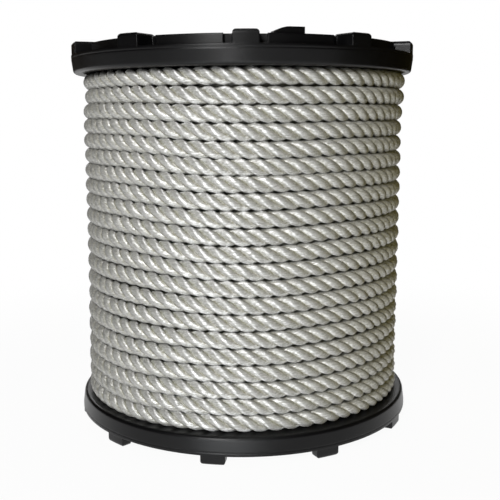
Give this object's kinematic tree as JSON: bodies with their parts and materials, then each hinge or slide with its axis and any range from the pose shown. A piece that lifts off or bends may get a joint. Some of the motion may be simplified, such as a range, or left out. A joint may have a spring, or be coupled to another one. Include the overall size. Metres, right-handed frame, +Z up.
{
  "type": "rope reel",
  "caption": "Moulded plastic reel standing on end, full of three-strand laid rope in close even turns, with lugged flanges and a central bore for a spindle.",
  "frame": {"origin": "on the floor, below the middle of the reel", "axes": "+Z up along the reel's axis, -Y towards the side that the picture shows"},
  "size_m": [0.3048, 0.3048, 0.3393],
  "materials": {
    "flange": "satin moulded black",
    "barrel": "spiral-wound paperboard",
    "rope": "bright laid nylon",
    "tape": "plain cloth tape",
    "fastener": "bright zinc"
  },
  "bodies": {
    "root": {"upper_flange": "flange", "lower_flange": "flange", "barrel_tube": "barrel", "rope_inner_layers": "rope", "rope_outer_layer": "rope", "rope_end_tape": "tape", "tie_bolt_1": "fastener", "tie_bolt_2": "fastener", "tie_bolt_3": "fastener", "tie_bolt_4": "fastener", "head_washer_1": "fastener", "head_washer_2": "fastener", "head_washer_3": "fastener", "head_washer_4": "fastener", "nut_washer_1": "fastener", "nut_washer_2": "fastener", "nut_washer_3": "fastener", "nut_washer_4": "fastener", "nut_1": "fastener", "nut_2": "fastener", "nut_3": "fastener", "nut_4": "fastener"}
  },
  "joints": []
}
